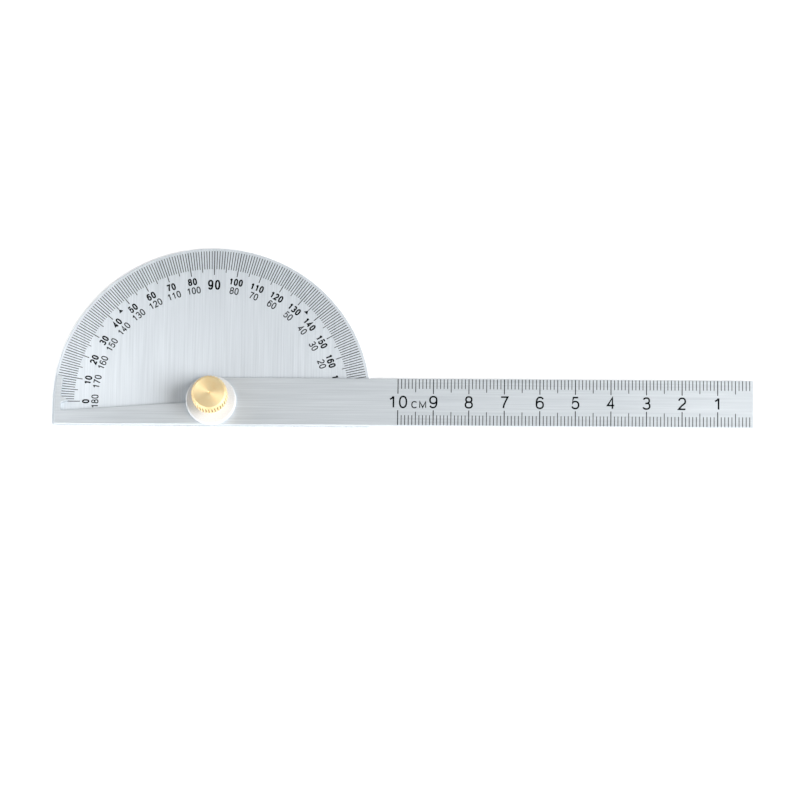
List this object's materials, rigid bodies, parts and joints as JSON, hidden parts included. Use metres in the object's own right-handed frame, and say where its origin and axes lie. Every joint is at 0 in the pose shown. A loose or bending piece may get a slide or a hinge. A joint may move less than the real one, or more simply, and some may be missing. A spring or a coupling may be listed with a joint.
{
  "type": "bevel protractor",
  "caption": "Flat protractor with a half-round degree dial, a swinging rule arm with an index tail, and a knurled clamp knob.",
  "frame": {"origin": "on the pivot axis, at the back face of the dial plate", "axes": "+X along the arm towards its free end with the arm at the 0 mark, +Y towards the 90 degree mark, +Z out of the graduated face"},
  "size_m": [0.1977, 0.0521, 0.0128],
  "materials": {
    "dial_steel": "satin, brushed across the base edge, towards the 90 mark",
    "arm_steel": "satin, brushed along the arm",
    "collar_metal": "fine matt white metal with a bright rounded edge",
    "knob_brass": "faced top with turning marks, straight knurl",
    "stud_steel": "turned",
    "spring_steel": "rolled",
    "slip_film": "natural polymer film",
    "scale_black": "black fill of the graduations and numerals"
  },
  "bodies": {
    "dial": {"dial_plate": "dial_steel", "pivot_stud": "stud_steel", "slip_washer": "slip_film"},
    "arm": {"swing_arm": "arm_steel"},
    "collar": {"clamp_collar": "collar_metal", "disc_spring": "spring_steel"},
    "knob": {"clamp_knob": "knob_brass"}
  },
  "joints": [
    {"name": "arm_swing", "type": "hinge", "parent": "dial", "child": "arm", "pos_m": [0, 0, 0], "axis": [0, 0, 1], "continuous": true},
    {"name": "collar_lift", "type": "slide", "parent": "dial", "child": "collar", "axis": [0, 0, 1], "range_m": [0, 0.0007]},
    {"name": "knob_turn", "type": "hinge", "parent": "collar", "child": "knob", "pos_m": [0, 0, 0], "axis": [0, 0, 1], "range_deg": [0, 360]}
  ],
  "couplings": [
    {"joint": "knob_turn", "follows": "collar_lift", "rad_per_m": 8975.9}
  ]
}
